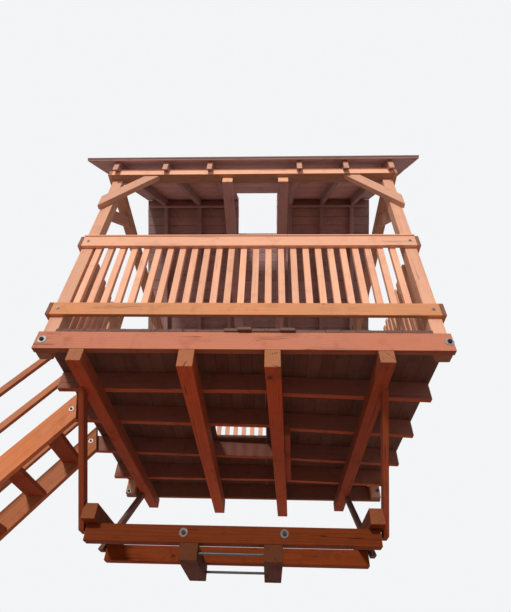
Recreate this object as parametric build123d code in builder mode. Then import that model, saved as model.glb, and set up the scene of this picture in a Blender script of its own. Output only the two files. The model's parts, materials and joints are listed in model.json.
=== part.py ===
from build123d import *
import math
import os

os.makedirs("parts", exist_ok=True)

# Frame: +X to the right along the ridge, +Y to the back, +Z up, in millimetres.
# The origin is on the back face of the front collar beam, midway between the collar's blocks.

# What the collar clamps
trunk_depth = 450
trunk_room = 460
collar_fit = 3

# The collar that holds the house up
collar_half = 1045
collar_beam_depth = 85
collar_beam_height = 115
collar_side_width = 100
collar_side_height = 104
collar_side_length = 820
collar_side_overhang = 19
trunk_block_width = 130
trunk_block_height = 110
rod_radius = 9

# Where the house stands from the collar
house_x = 72
deck_rise = 972
deck_depth = 2720

# The deck's beams, bearers and joists
deck_beam_length = 2800
deck_beam_depth = 50
deck_beam_height = 147
outer_bearer_height = 96
inner_bearer_height = 137
outer_bearer_width = 100
outer_bearer_offset = 4
inner_bearer_width = 105
bearer_overhang = 35
skewed_bearer_overhang = 110
bearer_skew = 125
splice_width = 50
splice_height = 103
splice_front = 1000
splice_length = 950
joist_width = 50
joist_right_reach = 2
stair_joist_reach = 70
first_joist = 488
stair_joist_front = 958
stair_joist_rear = 1537
last_joist = 2142

# How far each joist runs out of square to the back: its left piece and its right piece
# where they meet over the right inner bearer, and its right end
first_joist_drift = (0, 34, 102)
stair_front_drift = (60, 97, 207)
stair_rear_drift = (83, 93, 203)
last_joist_drift = (0, 8, 97)

# The deck boards
deck_thickness = 25
deck_clearance = 5
deck_right_overhang = 15

# The struts from the bearers down to the collar
strut_width = 40
strut_depth = 68
strut_angle = 43.3
strut_foot_lap = 45
strut_foot_reach = 120
strut_lean = 25

# The posts and the frame that they carry
post = 98
post_inset = 10
post_setback = 30
post_height = 1996
roof_beam_depth = 100
roof_beam_height = 102
roof_beam_overhang = 5
roof_beam_forward = 65
plate_width = 100
plate_overhang = 40
tie_width = 100
tie_height = 80
tie_forward = 27
tie_left = -283
tie_right = 266
knee_width = 50
knee_depth = 107
knee_angle = 46.4
knee_reach = 485
knee_overhang = 5

# The roof
rafter_width = 50
rafter_depth = 100
rafter_shares = (-0.963, -0.609, -0.294, 0.34, 0.666, 0.979)
roof_angle = 46.5
heel = 43
tail_reach = 60
eave_reach = 95
roof_thickness = 30
verge_overhang = 240
ridge_inset = 70
ridge_board_width = 38
ridge_board_height = 150
roof_well_half = 280
roof_well_depth = 680

# The railings
rail_thickness = 30
rail_cap_height = 12
rail_cap_overhang = 10
top_rail_height = 1050
top_rail_depth = 122
lower_rail_height = 275
lower_rail_depth = 115
baluster_width = 50
baluster_thickness = 38
baluster_pitch = 101.5
baluster_shift = 25
baluster_top_gap = 8
baluster_foot_gap = 42

# The stair
stair_angle = 52.85
stringer_depth = 182
stringer_thickness = 50
stringer_end_gap = 60
stringer_head = 68
tread_count = 6
tread_rise = 292
first_rise = 275
tread_depth = 165
tread_thickness = 40
handrail_thickness = 38
handrail_depth = 60
handrail_height = 914
handrail_tail = 60
mid_rail_height = 387
far_rail_height = 345
stair_post_width = 90
stair_post_thickness = 50
stair_post_steps = (3.6, 5.6)
stair_post_head = 60
stair_post_foot = 150

# Places worked out from the sizes
trunk_back = trunk_depth
house_mid_y = trunk_depth / 2
deck_front = house_mid_y - deck_depth / 2
deck_back = house_mid_y + deck_depth / 2
half_beam = deck_beam_length / 2
beam_bottom = deck_rise - deck_beam_height
deck_surface = deck_rise + deck_thickness
collar_top = collar_beam_height / 2
collar_bottom = -collar_beam_height / 2
side_top = collar_top + collar_side_height
side_beam_half = collar_half + collar_side_overhang
bearer_half = side_beam_half + outer_bearer_offset
plate_bottom = deck_rise + post_height
plate_top = plate_bottom + roof_beam_height
post_half = half_beam - post_inset
left_face = house_x - post_half
right_face = house_x + post_half
post_front = deck_front + post_setback
post_back = deck_back - post_setback
roof_beam_half = post_half + roof_beam_overhang
plate_half = post_half + plate_overhang
roof_front = post_front - roof_beam_forward
roof_half = roof_beam_half + verge_overhang
ridge_half = roof_half - ridge_inset
slope = math.tan(math.radians(roof_angle))
rafter_rise = rafter_depth / math.cos(math.radians(roof_angle))
roof_rise = roof_thickness / math.cos(math.radians(roof_angle))
knee_slope = math.tan(math.radians(knee_angle))
knee_foot = knee_depth / math.cos(math.radians(knee_angle))
knee_head = knee_depth / math.sin(math.radians(knee_angle))
stair_slope = math.tan(math.radians(stair_angle))
stringer_rise = stringer_depth / math.cos(math.radians(stair_angle))
stringer_front = deck_front + stair_joist_front - stringer_thickness
stringer_rear = deck_front + stair_joist_rear - stringer_thickness
gap_front = deck_front + stair_joist_front + joist_width
gap_rear = stringer_rear


def save(piece, name):
    """Labels a finished piece and writes it as a STEP file."""
    piece.part.label = name
    export_step(piece.part, f"parts/{name}.step")


def timber(name, *boxes):
    """Makes straight timbers from their limits in X, Y and Z."""
    with BuildPart() as piece:
        for (x0, x1), (y0, y1), (z0, z1) in boxes:
            with BuildSketch(Plane.XY.offset(z0)):
                with Locations(((x0 + x1) / 2, (y0 + y1) / 2)):
                    Rectangle(x1 - x0, y1 - y0)
            extrude(amount=z1 - z0)
    save(piece, name)


def swap(y):
    """Mirrors a place in Y about the middle of the house."""
    return 2 * house_mid_y - y


def across(x):
    """Mirrors a place in X about the middle of the house."""
    return 2 * house_x - x


def side_face(points, x):
    """A face with the given outline in Y and Z, at a place in X."""
    with BuildSketch(Plane.YZ.offset(x)) as profile:
        with BuildLine():
            Polyline(*points, close=True)
        make_face()
    return profile.sketch


def front_face(points, y):
    """A face with the given outline in X and Z, at a place in Y."""
    with BuildSketch(Plane.XZ.offset(-y)) as profile:
        with BuildLine():
            Polyline(*points, close=True)
        make_face()
    return profile.sketch


def top_face(points, z):
    """A face with the given outline in X and Y, at a place in Z."""
    with BuildSketch(Plane.XY.offset(z)) as profile:
        with BuildLine():
            Polyline(*points, close=True)
        make_face()
    return profile.sketch


# The collar's two long beams, front and back
collar_span = (-collar_half, collar_half)
collar_layer = (collar_bottom, collar_top)
timber("collar_beam_front", (collar_span, (-collar_beam_depth, 0), collar_layer))
timber("collar_beam_rear", (collar_span, (trunk_back, trunk_back + collar_beam_depth), collar_layer))

# The blocks under the collar, left and right, and the rods that clamp them
block_inner = trunk_depth / 2 + collar_fit
block_outer = block_inner + trunk_block_width
block_row = (-collar_beam_depth, trunk_back + collar_beam_depth)
block_layer = (collar_bottom - trunk_block_height, collar_bottom)
timber(
    "trunk_blocks",
    ((-block_outer, -block_inner), block_row, block_layer),
    ((block_inner, block_outer), block_row, block_layer),
)
rod_height = collar_bottom - trunk_block_height / 2
with BuildPart() as rods:
    for rod_y in (-collar_beam_depth / 2, trunk_back + collar_beam_depth / 2):
        with BuildSketch(Plane.YZ.offset(-block_inner)):
            with Locations((rod_y, rod_height)):
                Circle(rod_radius)
        extrude(amount=2 * block_inner)
save(rods, "clamping_rods")

# The bearers from front to back: two outside, and one at each side of the well
bearer_row = (deck_front, deck_back + bearer_overhang)
outer_layer = (beam_bottom - outer_bearer_height, beam_bottom)
inner_layer = (beam_bottom - inner_bearer_height, beam_bottom)
inner_near = trunk_room / 2
timber(
    "outer_bearers",
    ((-bearer_half, outer_bearer_width - bearer_half), bearer_row, outer_layer),
    ((bearer_half - outer_bearer_width, bearer_half), bearer_row, outer_layer),
)
timber("left_inner_bearer", ((-inner_near - inner_bearer_width, -inner_near), bearer_row, inner_layer))

# The right inner bearer runs out of square, with a splice board along its right face
skewed_end = deck_back + skewed_bearer_overhang
skew_rate = bearer_skew / (skewed_end - deck_front)


def skewed_outline(near, width, start, end):
    """The outline in X and Y of a timber that runs with the skewed bearer."""
    start_x = near + skew_rate * (start - deck_front)
    end_x = near + skew_rate * (end - deck_front)
    return ((start_x, start), (start_x + width, start), (end_x + width, end), (end_x, end))


with BuildPart() as skewed_bearer:
    bearer_outline = skewed_outline(inner_near, inner_bearer_width, deck_front, skewed_end)
    extrude(top_face(bearer_outline, inner_layer[0]), amount=inner_bearer_height)
save(skewed_bearer, "right_inner_bearer")
with BuildPart() as splice:
    splice_start = deck_front + splice_front
    splice_near = inner_near + inner_bearer_width
    splice_outline = skewed_outline(splice_near, splice_width, splice_start, splice_start + splice_length)
    extrude(top_face(splice_outline, beam_bottom - splice_height), amount=splice_height)
save(splice, "bearer_splice")

# The struts, from the outer faces of the collar's side beams up to the undersides of the outer
# bearers, with a slight lean towards the middle
side_front = house_mid_y - collar_side_length / 2
side_back = house_mid_y + collar_side_length / 2
strut_run = strut_depth / math.sin(math.radians(strut_angle))
strut_foot_z = collar_top - strut_foot_lap
strut_foot_y = side_front + strut_foot_reach + strut_run / 2
strut_rise = outer_layer[0] - strut_foot_z
strut_travel = strut_rise / math.tan(math.radians(strut_angle))
strut_parts = []
for strut_name, foot_y, travel in (
    ("front_struts", strut_foot_y, -strut_travel),
    ("rear_struts", swap(strut_foot_y), strut_travel),
):
    with BuildPart() as struts:
        for side in (-1, 1):
            with BuildSketch(Plane.XY.offset(strut_foot_z)):
                with Locations((side * (side_beam_half + strut_width / 2), foot_y)):
                    Rectangle(strut_width, strut_run)
            lean = Vector(-side * strut_lean, travel, strut_rise)
            extrude(amount=lean.length, dir=lean)
    save(struts, strut_name)
    strut_parts.append(struts.part)

# The side beams that lie on the collar's long beams, with a shallow housing for each strut
side_middle = side_beam_half - collar_side_width / 2
with BuildPart() as side_beams:
    with BuildSketch(Plane.XY.offset(collar_top)):
        with Locations((-side_middle, house_mid_y), (side_middle, house_mid_y)):
            Rectangle(collar_side_width, side_back - side_front)
    extrude(amount=collar_side_height)
    add(strut_parts, mode=Mode.SUBTRACT)
save(side_beams, "collar_side_beams")

# The deck's front and rear beams and the joists between them
beam_span = (house_x - half_beam, house_x + half_beam)
joist_layer = (beam_bottom, deck_rise)
timber("deck_beam_front", (beam_span, (deck_front, deck_front + deck_beam_depth), joist_layer))
timber("deck_beam_rear", (beam_span, (deck_back - deck_beam_depth, deck_back), joist_layer))
joist_left = beam_span[0]
stair_joist_left = joist_left - stair_joist_reach
joist_right = beam_span[1] + joist_right_reach
joist_rows = (
    (first_joist, joist_left, first_joist_drift),
    (stair_joist_front, stair_joist_left, stair_front_drift),
    (stair_joist_rear, stair_joist_left, stair_rear_drift),
    (last_joist, joist_left, last_joist_drift),
)


def joist_outline(start_x, start_y, end_x, end_y):
    """The outline in X and Y of a joist whose front face runs between two places."""
    return ((start_x, start_y), (end_x, end_y), (end_x, end_y + joist_width), (start_x, start_y + joist_width))


left_outlines = []
right_outlines = []
for place, joist_start, (left_drift, right_drift, end_drift) in joist_rows:
    joist_front = deck_front + place
    meeting_x = inner_near + inner_bearer_width / 2 + skew_rate * (place + left_drift)
    left_outlines.append(joist_outline(joist_start, joist_front, meeting_x, joist_front + left_drift))
    right_outlines.append(
        joist_outline(meeting_x, joist_front + right_drift, joist_right, joist_front + end_drift)
    )
for joist_name, outlines in (("left_joists", left_outlines), ("right_joists", right_outlines)):
    with BuildPart() as joists:
        for outline in outlines:
            extrude(top_face(outline, beam_bottom), amount=deck_beam_height)
    save(joists, joist_name)

# The deck, in four fields round its well, cut out at the corners for the posts
well_front = deck_front + stair_joist_front + stair_front_drift[0] + joist_width
well_back = deck_front + stair_joist_rear
corner_cut = post_inset + post + deck_clearance
corner_cut_back = post_setback + post + deck_clearance
deck_layer = (deck_rise, deck_surface)
for deck_name, x0, x1, edge_x in (
    ("deck_left", beam_span[0], -inner_near, beam_span[0]),
    ("deck_right", inner_near, beam_span[1] + deck_right_overhang, beam_span[1]),
):
    with BuildPart() as deck_field:
        with BuildSketch(Plane.XY.offset(deck_rise)):
            with Locations(((x0 + x1) / 2, house_mid_y)):
                Rectangle(x1 - x0, deck_depth)
            with Locations((edge_x, deck_front), (edge_x, deck_back)):
                Rectangle(2 * corner_cut, 2 * corner_cut_back, mode=Mode.SUBTRACT)
        extrude(amount=deck_thickness)
    save(deck_field, deck_name)
timber("deck_front", ((-inner_near, inner_near), (deck_front, well_front), deck_layer))
timber("deck_rear", ((-inner_near, inner_near), (well_back, deck_back), deck_layer))

# The corner posts, which are housed over the deck beams and run down behind them
front_post_outline = (
    (post_front, plate_bottom),
    (post_front + post, plate_bottom),
    (post_front + post, beam_bottom),
    (deck_front + deck_beam_depth, beam_bottom),
    (deck_front + deck_beam_depth, deck_rise),
    (post_front, deck_rise),
)
rear_post_outline = tuple((swap(y), z) for y, z in front_post_outline)
with BuildPart() as corner_posts:
    for outline in (front_post_outline, rear_post_outline):
        for post_x in (left_face, right_face - post):
            extrude(side_face(outline, post_x), amount=post)
save(corner_posts, "corner_posts")

# The roof beams on the posts, and the side plates, which are notched round their ends
roof_beam_span = (house_x - roof_beam_half, house_x + roof_beam_half)
roof_back = swap(roof_front)
beam_layer = (plate_bottom, plate_top)
timber("roof_beam_front", (roof_beam_span, (roof_front, roof_front + roof_beam_depth), beam_layer))
timber("roof_beam_rear", (roof_beam_span, (roof_back - roof_beam_depth, roof_back), beam_layer))
plate_middle = house_x + plate_half - plate_width / 2
with BuildPart() as plates:
    for plate_x in (plate_middle, across(plate_middle)):
        with BuildSketch(Plane.XY.offset(plate_bottom)):
            with Locations((plate_x, house_mid_y)):
                Rectangle(plate_width, roof_back - roof_front)
            for beam_y in (roof_front + roof_beam_depth / 2, roof_back - roof_beam_depth / 2):
                with Locations((house_x, beam_y)):
                    Rectangle(2 * roof_beam_half, roof_beam_depth, mode=Mode.SUBTRACT)
        extrude(amount=roof_beam_height)
save(plates, "side_plates")

# The two ties from front to back under the roof
tie_row = (post_front - tie_forward, swap(post_front - tie_forward))
tie_layer = (plate_bottom - tie_height, plate_bottom)
timber(
    "tie_beams",
    ((house_x + tie_left, house_x + tie_left + tie_width), tie_row, tie_layer),
    ((house_x + tie_right, house_x + tie_right + tie_width), tie_row, tie_layer),
)

# The knee braces under the front and rear roof beams
knee_tip = house_x + roof_beam_half + knee_overhang
knee_low = plate_bottom - knee_reach * knee_slope
knee_outline = (
    (knee_tip, knee_low),
    (knee_tip - knee_reach, plate_bottom),
    (knee_tip - knee_reach + knee_head, plate_bottom),
    (knee_tip, knee_low + knee_foot),
)
left_knee_outline = tuple((across(x), z) for x, z in knee_outline)
for knee_name, knee_y in (("front_knees", post_front - knee_width), ("rear_knees", post_back)):
    with BuildPart() as knees:
        extrude(front_face(knee_outline, knee_y), amount=-knee_width)
        extrude(front_face(left_knee_outline, knee_y), amount=-knee_width)
    save(knees, knee_name)

# The knee braces under the side plates
side_knee_y = post_front + post
side_knee_outline = (
    (side_knee_y, knee_low),
    (side_knee_y + knee_reach, plate_bottom),
    (side_knee_y + knee_reach - knee_head, plate_bottom),
    (side_knee_y, knee_low + knee_foot),
)
rear_knee_outline = tuple((swap(y), z) for y, z in side_knee_outline)
side_knee_x = right_face - knee_width
with BuildPart() as side_knees:
    for outline in (side_knee_outline, rear_knee_outline):
        extrude(side_face(outline, side_knee_x), amount=knee_width)
        extrude(side_face(outline, across(side_knee_x) - knee_width), amount=knee_width)
save(side_knees, "side_knees")

# The rafters, with a bird's mouth over the roof beam
ridge_face = house_mid_y - ridge_board_width / 2


def under_rafter(y):
    """The height of the rafters' underside on the front slope."""
    return plate_top - heel + slope * (y - roof_front)


seat_end = roof_front + heel / slope
tail_end = roof_front - tail_reach
rafter_outline = (
    (tail_end, under_rafter(tail_end)),
    (roof_front, under_rafter(roof_front)),
    (roof_front, plate_top),
    (seat_end, plate_top),
    (ridge_face, under_rafter(ridge_face)),
    (ridge_face, under_rafter(ridge_face) + rafter_rise),
    (tail_end, under_rafter(tail_end) + rafter_rise),
)
rear_rafter_outline = tuple((swap(y), z) for y, z in rafter_outline)
for rafter_name, outline in (("front_rafters", rafter_outline), ("rear_rafters", rear_rafter_outline)):
    with BuildPart() as rafters:
        for share in rafter_shares:
            rafter_x = house_x + share * roof_beam_half - rafter_width / 2
            extrude(side_face(outline, rafter_x), amount=rafter_width)
    save(rafters, rafter_name)

# The ridge board, open at the well
ridge_top = under_rafter(ridge_face) + rafter_rise
ridge_layer = (ridge_top - ridge_board_height, ridge_top)
ridge_row = (ridge_face, swap(ridge_face))
timber(
    "ridge_board",
    ((house_x - ridge_half, house_x - roof_well_half), ridge_row, ridge_layer),
    ((house_x + roof_well_half, house_x + ridge_half), ridge_row, ridge_layer),
)

# The two roof slopes, notched for the well at the ridge
eave = roof_front - eave_reach
eave_low = under_rafter(eave) + rafter_rise
peak_low = under_rafter(house_mid_y) + rafter_rise
slab_outline = (
    (eave, eave_low),
    (house_mid_y, peak_low),
    (house_mid_y, peak_low + roof_rise),
    (eave, eave_low + roof_rise),
)
rear_slab_outline = tuple((swap(y), z) for y, z in slab_outline)
for slab_name, outline in (("roof_slope_front", slab_outline), ("roof_slope_rear", rear_slab_outline)):
    with BuildPart() as slab:
        extrude(side_face(outline, house_x - roof_half), amount=2 * roof_half)
        with BuildSketch(Plane.XY.offset(plate_top)):
            with Locations((house_x, house_mid_y)):
                Rectangle(2 * roof_well_half, roof_well_depth)
        extrude(amount=peak_low + roof_rise - plate_top, mode=Mode.SUBTRACT)
    save(slab, slab_name)

# The railings: boards on the outer faces of the posts
top_layer = (deck_rise + top_rail_height - top_rail_depth, deck_rise + top_rail_height)
lower_layer = (deck_rise + lower_rail_height - lower_rail_depth, deck_rise + lower_rail_height)
cap_layer = (top_layer[1], top_layer[1] + rail_cap_height)
front_span = (left_face, right_face)
front_rail_row = (post_front - rail_thickness, post_front)
rear_rail_row = (post_back, post_back + rail_thickness)
timber("front_top_rail", (front_span, front_rail_row, top_layer))
timber("front_lower_rail", (front_span, front_rail_row, lower_layer))
timber("rear_top_rail", (front_span, rear_rail_row, top_layer))
timber("rear_lower_rail", (front_span, rear_rail_row, lower_layer))
side_row = (front_rail_row[0], rear_rail_row[1])
right_rail = (right_face, right_face + rail_thickness)
left_rail = (left_face - rail_thickness, left_face)
timber("right_top_rail", (right_rail, side_row, top_layer))
timber("right_lower_rail", (right_rail, side_row, lower_layer))
left_rows = ((side_row[0], gap_front), (gap_rear, side_row[1]))
timber("left_top_rails", *((left_rail, row, top_layer) for row in left_rows))
timber("left_lower_rails", *((left_rail, row, lower_layer) for row in left_rows))

# The thin caps on the front and rear top rails, which stand out over their faces
front_cap_row = (front_rail_row[0] - rail_cap_overhang, post_front)
timber(
    "rail_caps",
    (front_span, front_cap_row, cap_layer),
    (front_span, (post_back, swap(front_cap_row[0])), cap_layer),
)

# The balusters behind the boards
baluster_layer = (lower_layer[0] + baluster_foot_gap, top_layer[1] - baluster_top_gap)
post_inner_front = post_front + post
post_inner_back = post_back - post
newel_front = gap_front - post
newel_rear = gap_rear + post
front_room = 2 * (post_half - post) - baluster_width - 2 * baluster_shift
front_count = math.floor(front_room / baluster_pitch) + 1
first_baluster = house_x - baluster_shift - baluster_pitch * (front_count - 1) / 2
front_places = [first_baluster + i * baluster_pitch for i in range(front_count)]


def spread(start, end):
    """Evenly spaced places for the middles of balusters between two posts."""
    bays = round((end - start) / baluster_pitch)
    return [start + i * (end - start) / bays for i in range(1, bays)]


for baluster_name, baluster_row in (
    ("front_balusters", (post_front, post_front + baluster_thickness)),
    ("rear_balusters", (post_back - baluster_thickness, post_back)),
):
    boxes = []
    for x in front_places:
        boxes.append(((x - baluster_width / 2, x + baluster_width / 2), baluster_row, baluster_layer))
    timber(baluster_name, *boxes)

left_span = (left_face, left_face + baluster_thickness)
right_span = (right_face - baluster_thickness, right_face)
for baluster_name, baluster_span, places in (
    ("left_front_balusters", left_span, spread(post_inner_front, newel_front)),
    ("left_rear_balusters", left_span, spread(newel_rear, post_inner_back)),
    ("right_balusters", right_span, spread(post_inner_front, post_inner_back)),
):
    boxes = []
    for y in places:
        boxes.append((baluster_span, (y - baluster_width / 2, y + baluster_width / 2), baluster_layer))
    timber(baluster_name, *boxes)

# The stair: two stringers on the faces of the stair joists
stringer_top_x = left_face - stringer_end_gap
stringer_top_z = deck_rise + stringer_head


def stringer_line(x):
    """The height of the stringers' top edge."""
    return stringer_top_z + stair_slope * (x - stringer_top_x)


foot_level = deck_surface - first_rise - tread_count * tread_rise
foot_outer = stringer_top_x + (foot_level - stringer_top_z) / stair_slope
foot_inner = foot_outer + stringer_rise / stair_slope
stringer_outline = (
    (stringer_top_x, stringer_top_z),
    (left_face, stringer_line(left_face) - stringer_rise),
    (foot_inner, foot_level),
    (foot_outer, foot_level),
)
for stringer_name, stringer_y in (("stringer_front", stringer_front), ("stringer_rear", stringer_rear)):
    with BuildPart() as stringer:
        extrude(front_face(stringer_outline, stringer_y), amount=-stringer_thickness)
    save(stringer, stringer_name)

# The treads between the stringers
tread_row = (stringer_front + stringer_thickness, stringer_rear)
tread_boxes = []
for step in range(tread_count):
    tread_top = deck_surface - first_rise - step * tread_rise
    tread_low = tread_top - tread_thickness
    tread_back = stringer_top_x + (tread_low - stringer_top_z + stringer_rise) / stair_slope
    tread_boxes.append(((tread_back - tread_depth, tread_back), tread_row, (tread_low, tread_top)))
timber("treads", *tread_boxes)

# The newels at the stair's gap in the railing, and the stair's own posts
newel_span = (left_face, left_face + post)
newel_layer = (deck_surface, deck_rise + top_rail_height)
timber(
    "newel_posts",
    (newel_span, (newel_front, gap_front), newel_layer),
    (newel_span, (gap_rear, newel_rear), newel_layer),
)
stringer_back = stringer_rear + stringer_thickness
stair_post_rows = (
    ((stringer_front - stair_post_thickness, stringer_front), handrail_height),
    ((stringer_back, stringer_back + stair_post_thickness), far_rail_height),
)
stair_post_boxes = []
for steps in stair_post_steps:
    post_x = stringer_top_x - steps * tread_rise / stair_slope
    post_low = stringer_line(post_x) - stair_post_foot
    for row, rail_height in stair_post_rows:
        span = (post_x - stair_post_width / 2, post_x + stair_post_width / 2)
        post_high = stringer_line(post_x) + rail_height + stair_post_head
        stair_post_boxes.append((span, row, (post_low, post_high)))
timber("stair_posts", *stair_post_boxes)

# The handrails: at the near side a top rail that meets the deck's top rail, and at both sides a
# middle rail that meets the newel
rail_foot_x = stair_post_boxes[-1][0][0] - handrail_tail
rail_rise = handrail_depth / math.cos(math.radians(stair_angle))


def handrail_outline(height, end_x):
    """The outline of a sloping rail whose middle lies at the given height over the stringer."""
    low_end = stringer_line(rail_foot_x) + height
    high_end = stringer_line(end_x) + height
    return (
        (rail_foot_x, low_end - rail_rise / 2),
        (end_x, high_end - rail_rise / 2),
        (end_x, high_end + rail_rise / 2),
        (rail_foot_x, low_end + rail_rise / 2),
    )


far_rail_y = stringer_back - handrail_thickness
rail_rows = (
    (stringer_front, handrail_outline(handrail_height, left_rail[0])),
    (stringer_front, handrail_outline(mid_rail_height, left_face)),
    (far_rail_y, handrail_outline(far_rail_height, left_face)),
)
with BuildPart() as handrails:
    for rail_y, outline in rail_rows:
        extrude(front_face(outline, rail_y), amount=-handrail_thickness)
save(handrails, "handrails")
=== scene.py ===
"""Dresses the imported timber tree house: sawn timbers, boards, bolts, a stage and a camera."""

import json
import math
import random

import bmesh
import bpy
from bpy.props import FloatProperty, FloatVectorProperty, IntProperty, PointerProperty
from mathutils import Matrix, Vector


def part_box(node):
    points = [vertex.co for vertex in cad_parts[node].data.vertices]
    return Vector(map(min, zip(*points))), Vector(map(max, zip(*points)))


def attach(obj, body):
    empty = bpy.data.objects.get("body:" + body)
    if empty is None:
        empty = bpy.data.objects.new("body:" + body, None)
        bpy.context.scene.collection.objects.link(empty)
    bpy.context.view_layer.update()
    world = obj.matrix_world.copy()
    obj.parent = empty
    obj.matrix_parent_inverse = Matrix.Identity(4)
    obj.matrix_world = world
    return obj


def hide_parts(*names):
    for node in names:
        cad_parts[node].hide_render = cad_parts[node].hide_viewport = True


bl_info = {
    "name": "Timber Tree House",
    "version": (1, 0, 0),
    "blender": (4, 5, 0),
    "location": "3D View > Sidebar > Tree House",
    "description": "Builds the boards, bolts and finishes of a tree house round its packed frame",
    "category": "Object",
}

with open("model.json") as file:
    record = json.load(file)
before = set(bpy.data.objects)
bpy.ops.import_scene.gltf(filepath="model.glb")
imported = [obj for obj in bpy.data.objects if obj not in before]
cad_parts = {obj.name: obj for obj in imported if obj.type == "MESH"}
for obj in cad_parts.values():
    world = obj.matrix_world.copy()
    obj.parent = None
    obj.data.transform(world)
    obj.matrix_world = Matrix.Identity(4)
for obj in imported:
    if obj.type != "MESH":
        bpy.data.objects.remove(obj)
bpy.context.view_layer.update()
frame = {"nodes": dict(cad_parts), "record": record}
node_slots = {part["node"]: part["material_slot"] for part in frame["record"]["subparts"]}

BODY = "root"
FINISH = "_finish"

# Each row says how light a node's timbers are beside their slot's colour, how dull they are, and
# how much their cut ends show, which on the timbers with dark ends is partly painted shade. A roof slope's
# row is for the lining under its boards.
PLAIN_TONE = (1.0, 0.0, 0.6)
DECK_TONE = (1.0, 0.15, 1.0)
ROOF_TONE = (0.55, 0.35, 0.0)
TONES = {
    "collar_beam_front": (0.9, 0.0, 0.4),
    "collar_beam_rear": (1.0, 0.0, 0.4),
    "collar_side_beams": (0.9, 0.0, 0.25),
    "trunk_blocks": (0.4, 0.0, 0.1),
    "outer_bearers": (0.95, 0.08, 0.6),
    "right_inner_bearer": (1.0, 0.0, 0.7),
    "bearer_splice": (1.0, 0.1, 0.2),
    "left_joists": (0.9, 0.32, 0.1),
    "right_joists": (0.9, 0.32, 0.1),
    "deck_beam_rear": (0.45, 0.2, 0.5),
    "front_struts": (0.88, 0.03, 0.1),
    "rear_struts": (0.4, 0.3, 0.1),
    "corner_posts": (0.88, 0.06, 0.8),
    "roof_beam_front": (1.15, 0.06, 0.3),
    "roof_beam_rear": (0.8, 0.1, 0.3),
    "side_plates": (0.75, 0.1, 0.3),
    "tie_beams": (1.08, 0.0, 1.0),
    "front_rafters": (0.85, 0.05, 0.45),
    "rear_rafters": (0.85, 0.05, 0.45),
    "ridge_board": (0.8, 0.1, 0.2),
    "front_knees": (0.85, 0.14, 0.3),
    "rear_knees": (0.85, 0.1, 0.3),
    "side_knees": (0.75, 0.1, 0.3),
    "front_lower_rail": (0.92, 0.03, 0.8),
    "rear_top_rail": (0.9, 0.05, 0.8),
    "rear_lower_rail": (0.85, 0.05, 0.8),
    "right_top_rail": (0.85, 0.05, 0.8),
    "right_lower_rail": (0.85, 0.05, 0.8),
    "left_top_rails": (0.8, 0.05, 0.8),
    "left_lower_rails": (0.7, 0.05, 0.8),
    "newel_posts": (0.85, 0.08, 0.5),
    "rear_balusters": (0.9, 0.05, 0.6),
    "left_front_balusters": (0.9, 0.05, 0.6),
    "left_rear_balusters": (0.9, 0.05, 0.6),
    "right_balusters": (0.9, 0.05, 0.6),
    "stringer_rear": (0.6, 0.03, 0.6),
    "handrails": (0.75, 0.15, 0.6),
    "roof_slope_front": (1.4, 0.25, 0.0),
    "roof_slope_rear": (1.0, 0.2, 0.0),
}

# Painted light and shade on undersides: how light some nodes' undersides are beside their sides,
# lighter under the bearers and joists for warm light from below, darker under the front beams for shade
UNDERSIDE_PAINTED_LIGHT_AND_SHADE = {
    "outer_bearers": 1.2,
    "left_inner_bearer": 1.35,
    "right_inner_bearer": 1.35,
    "left_joists": 1.6,
    "right_joists": 1.6,
    "deck_beam_front": 0.5,
    "roof_beam_front": 0.45,
}

# How much the tones of like timbers differ
TONE_RANGE = 0.12
FRAME_TONE_RANGE = 0.06
RAIL_TONE_RANGE = 0.08
BALUSTER_TONE_RANGE = 0.1
DECK_TONE_RANGE = 0.09
ROOF_TONE_RANGE = 0.14

# How wide the rounding on thinner pieces' edges is beside that on the large timbers
DECK_EASE = 0.75
RAIL_EASE = 0.7
BALUSTER_EASE = 0.6
ROOF_EASE = 0.4

# Limits that keep mesh work clean, and the decimals that metres are rounded to
WELD = 0.00002
SAME_PLACE = 0.001
FLAT_ANGLE = math.radians(1)
CREASE = math.radians(20)
PLACE_DECIMALS = 4
LENGTH_DECIMALS = 5

# How squarely a face looks along its timber, or down, to be a cut end or an underside, and how
# steep a timber is to take its sides from another axis
END_FACING = 0.35
DOWN_FACING = 0.7
STEEP = 0.7

# A face is a rounding where its area is under this share of its outline times the rounding's width
NARROW = 0.75

# How far the grain shifts from timber to timber, in metres, and the share of that across the timber
GRAIN_SPREAD = 7.0
ACROSS_SHARE = 0.02

# How dull undersides are beside the plain finish, kept low to paint warm light from below, and how
# dark eaves and rods are beside it
UNDERSIDE_DULLNESS_AS_PAINTED_LIGHT = 0.3
EAVES_SHADE = 0.68
ROD_SHADE = 0.3

# How strongly knots and checks show, the sheen of timber and steel, and the strength of their relief
KNOTS = 0.85
CHECKS = 0.85
SHEEN = 0.1
TIMBER_RELIEF = 0.6
STEEL_RELIEF = 0.4
STEEL_RELIEF_DEPTH = 0.0006

# Colours that weather brings
GREYED = (0.27, 0.235, 0.225, 1.0)
STAINED = (0.055, 0.035, 0.028, 1.0)
CHECKED = (0.03, 0.016, 0.010, 1.0)
WORN = (0.62, 0.47, 0.36, 1.0)
RUSTED = (0.19, 0.07, 0.03, 1.0)
AGED_STEEL = (0.045, 0.030, 0.026, 1.0)

# How dark knots and cracks are beside the dark rings, and dull steel beside bright, by channel
KNOT_SHADE = (0.5, 0.42, 0.4)
CRACK_SHADE = (0.25, 0.22, 0.2)
DULL_STEEL_SHADE = (0.62, 0.62, 0.62)

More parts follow.
